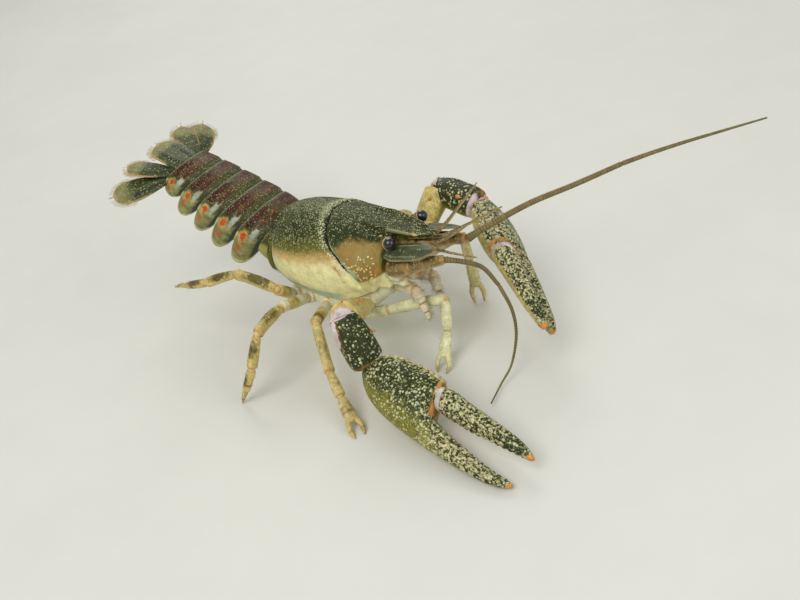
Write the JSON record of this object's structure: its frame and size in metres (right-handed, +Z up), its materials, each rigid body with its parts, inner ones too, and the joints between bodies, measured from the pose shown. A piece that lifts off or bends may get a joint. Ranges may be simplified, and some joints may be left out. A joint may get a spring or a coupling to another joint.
{
  "type": "spiny-cheek crayfish",
  "caption": "Life-size spiny-cheek crayfish standing on the floor, claws forward, tail raised, one long feeler swept out to its left.",
  "frame": {"origin": "middle of the model's footprint, on the floor", "axes": "+X towards the head and along the body, +Y to the animal's left, +Z up"},
  "size_m": [0.1434, 0.1032, 0.0439],
  "materials": {
    "dark_shell": "hard wet-looking shell, dark olive with cream dots above, pale below",
    "pale_shell": "hard cream shell, slightly glossy",
    "tail_shell": "thin glossy olive shell with dark red bands",
    "tail_fan": "thin olive blades with pale edges",
    "eye": "smooth, shiny and black",
    "feeler": "brown, ringed, satin",
    "claw": "hard shell, dark olive with cream dots and orange tips",
    "leg": "ochre and cream shell, satin"
  },
  "bodies": {
    "root": {"antenna_base_left": "feeler", "antenna_base_right": "feeler", "antenna_scale_left": "feeler", "antenna_scale_right": "feeler", "antennule_left": "feeler", "antennule_right": "feeler", "carapace": "dark_shell", "claw_left_arm": "claw", "claw_left_finger": "claw", "claw_left_hand": "claw", "claw_left_wrist": "claw", "claw_right_arm": "claw", "claw_right_finger": "claw", "claw_right_hand": "claw", "claw_right_wrist": "claw", "eye_left": "eye", "eye_right": "eye", "feeler_left_far": "feeler", "feeler_left_near": "feeler", "feeler_right_far": "feeler", "feeler_right_near": "feeler", "jaw_leg_left": "pale_shell", "jaw_leg_right": "pale_shell", "leg2_left_foot": "leg", "leg2_left_upper": "leg", "leg2_left_wrist": "leg", "leg2_right_foot": "leg", "leg2_right_upper": "leg", "leg2_right_wrist": "leg", "leg3_left_foot": "leg", "leg3_left_upper": "leg", "leg3_left_wrist": "leg", "leg3_right_foot": "leg", "leg3_right_upper": "leg", "leg3_right_wrist": "leg", "leg4_left_foot": "leg", "leg4_left_upper": "leg", "leg4_left_wrist": "leg", "leg4_right_foot": "leg", "leg4_right_upper": "leg", "leg4_right_wrist": "leg", "leg5_left_foot": "leg", "leg5_left_upper": "leg", "leg5_left_wrist": "leg", "leg5_right_foot": "leg", "leg5_right_upper": "leg", "leg5_right_wrist": "leg", "tail_1": "tail_shell", "tail_2": "tail_shell", "tail_3": "tail_shell", "tail_4": "tail_shell", "tail_5": "tail_shell", "tail_6": "tail_shell", "telson": "tail_fan", "thorax": "pale_shell", "uropod_inner_left": "tail_fan", "uropod_inner_right": "tail_fan", "uropod_outer_left": "tail_fan", "uropod_outer_right": "tail_fan"}
  },
  "joints": []
}
